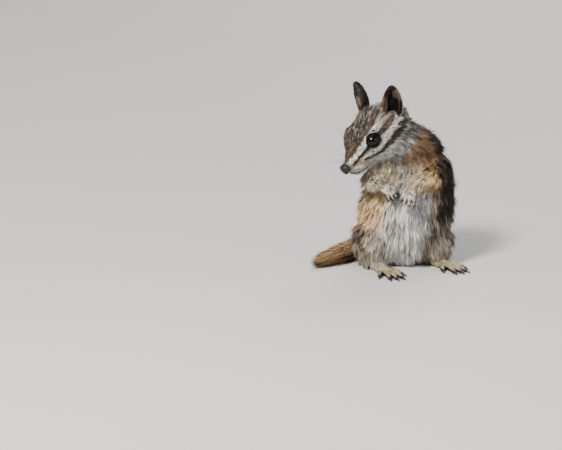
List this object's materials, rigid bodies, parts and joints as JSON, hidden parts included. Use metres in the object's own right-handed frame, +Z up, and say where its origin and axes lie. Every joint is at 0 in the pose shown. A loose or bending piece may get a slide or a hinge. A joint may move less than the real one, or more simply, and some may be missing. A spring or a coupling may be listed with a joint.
{
  "type": "chipmunk",
  "caption": "Life-size chipmunk sitting upright on its haunches, forepaws held at its chest, head turned over its shoulder and tail curled on the ground.",
  "frame": {"origin": "middle of the flat under the rump, on the ground", "axes": "+Z up; the chest faces -Y; the animal's left side is towards +X, and its head is turned over its right shoulder"},
  "size_m": [0.061, 0.0785, 0.0736],
  "materials": {
    "head_coat": "short dense fur, striped on the face",
    "throat_coat": "short grey-white fur",
    "body_coat": "dense fur, five dark stripes down the back",
    "limb_coat": "short tawny and cream fur",
    "paw_skin": "thin pale fur over skin, dark claws",
    "ear_skin": "thin skin with very short fur",
    "tail_coat": "long coarse tawny fur tipped with black",
    "eye_surface": "wet gloss",
    "nose_skin": "moist bare skin"
  },
  "bodies": {
    "root": {"head": "head_coat", "nose": "nose_skin", "neck": "throat_coat", "torso": "body_coat", "eye_left": "eye_surface", "ear_left": "ear_skin", "upper_arm_left": "limb_coat", "forearm_left": "limb_coat", "hand_left": "paw_skin", "thigh_left": "body_coat", "foot_left": "paw_skin", "eye_right": "eye_surface", "ear_right": "ear_skin", "upper_arm_right": "limb_coat", "forearm_right": "limb_coat", "hand_right": "paw_skin", "thigh_right": "body_coat", "foot_right": "paw_skin", "tail_base": "tail_coat", "tail_middle": "tail_coat", "tail_tip": "tail_coat"}
  },
  "joints": []
}
